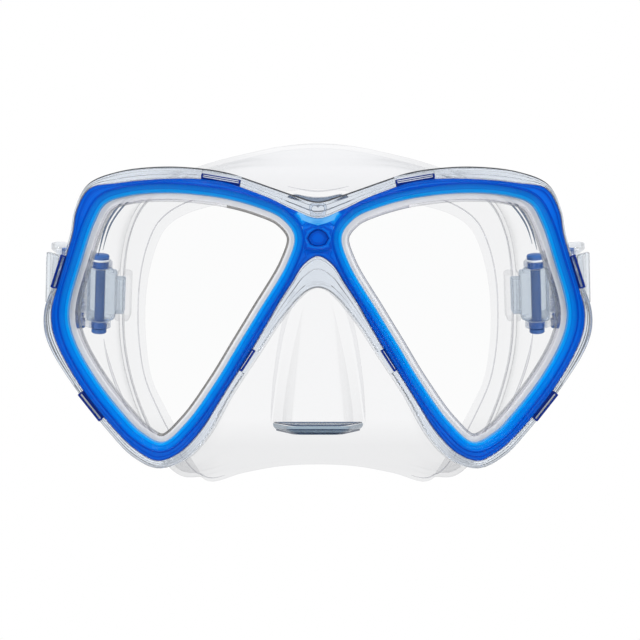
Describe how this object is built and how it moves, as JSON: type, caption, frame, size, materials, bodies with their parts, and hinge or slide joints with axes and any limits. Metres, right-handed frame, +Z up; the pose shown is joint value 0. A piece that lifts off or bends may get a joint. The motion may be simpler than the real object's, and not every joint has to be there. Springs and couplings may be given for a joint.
{
  "type": "diving mask",
  "caption": "Two-lens diving mask with a clear face skirt and nose pocket, a blue retaining frame that clips on, and swivelling strap buckles at the sides",
  "frame": {"origin": "On the centre plane at eye height, level with the rear of the skirt at the temples, where the mask seals on the face", "axes": "+X to the wearer's left, the mask's width; +Y towards the face; +Z up"},
  "size_m": [0.1924, 0.0744, 0.1124],
  "materials": {
    "clear_silicone": "clear soft silicone with a satin surface",
    "clear_frame": "clear polished polycarbonate",
    "blue_frame": "translucent blue polished polycarbonate",
    "lens_glass": "clear tempered glass",
    "frosted_lug": "frosted clear plastic",
    "dark_blue_pins": "dark blue moulded acetal",
    "blue_bushes": "blue moulded acetal",
    "clear_buckle": "clear polished polycarbonate",
    "frosted_roller": "frosted clear plastic",
    "clear_lever": "clear polished polycarbonate",
    "spring_steel": "plain stainless spring wire"
  },
  "bodies": {
    "mask": {"skirt": "clear_silicone", "main_frame": "clear_frame", "retaining_frame": "blue_frame", "left_lens": "lens_glass", "right_lens": "lens_glass", "left_buckle_lug": "frosted_lug", "left_pivot_pin": "dark_blue_pins", "left_pivot_cap": "dark_blue_pins", "right_buckle_lug": "frosted_lug", "right_pivot_pin": "dark_blue_pins", "right_pivot_cap": "dark_blue_pins"},
    "left_buckle": {"left_pivot_bushes": "blue_bushes", "left_buckle_frame": "clear_buckle", "left_roller_axle": "dark_blue_pins", "left_lever_pin": "dark_blue_pins", "left_lever_spring": "spring_steel"},
    "left_roller": {"left_strap_roller": "frosted_roller"},
    "left_lever": {"left_release_lever": "clear_lever"},
    "right_buckle": {"right_pivot_bushes": "blue_bushes", "right_buckle_frame": "clear_buckle", "right_roller_axle": "dark_blue_pins", "right_lever_pin": "dark_blue_pins", "right_lever_spring": "spring_steel"},
    "right_roller": {"right_strap_roller": "frosted_roller"},
    "right_lever": {"right_release_lever": "clear_lever"}
  },
  "joints": [
    {"name": "left_buckle_swivel", "type": "hinge", "parent": "mask", "child": "left_buckle", "pos_m": [-0.0731, -0.023, 0.0079], "axis": [-0.0508, 0.2419, -0.969], "range_deg": [-43, 17]},
    {"name": "left_roller_spin", "type": "hinge", "parent": "left_buckle", "child": "left_roller", "pos_m": [-0.08078, -0.01174, 0.01111], "axis": [-0.0508, 0.2419, -0.969], "continuous": true},
    {"name": "left_lever_release", "type": "hinge", "parent": "left_buckle", "child": "left_lever", "pos_m": [-0.08698, -0.00695, 0.01263], "axis": [-0.0508, 0.2419, -0.969], "range_deg": [0, 18], "stiffness_Nm_per_rad": 0.01, "springref_deg": -9.74},
    {"name": "right_buckle_swivel", "type": "hinge", "parent": "mask", "child": "right_buckle", "pos_m": [0.0731, -0.023, 0.0079], "axis": [-0.0508, -0.2419, 0.969], "range_deg": [-43, 17]},
    {"name": "right_roller_spin", "type": "hinge", "parent": "right_buckle", "child": "right_roller", "pos_m": [0.08078, -0.01174, 0.01111], "axis": [-0.0508, -0.2419, 0.969], "continuous": true},
    {"name": "right_lever_release", "type": "hinge", "parent": "right_buckle", "child": "right_lever", "pos_m": [0.08698, -0.00695, 0.01263], "axis": [-0.0508, -0.2419, 0.969], "range_deg": [0, 18], "stiffness_Nm_per_rad": 0.01, "springref_deg": -9.74}
  ]
}
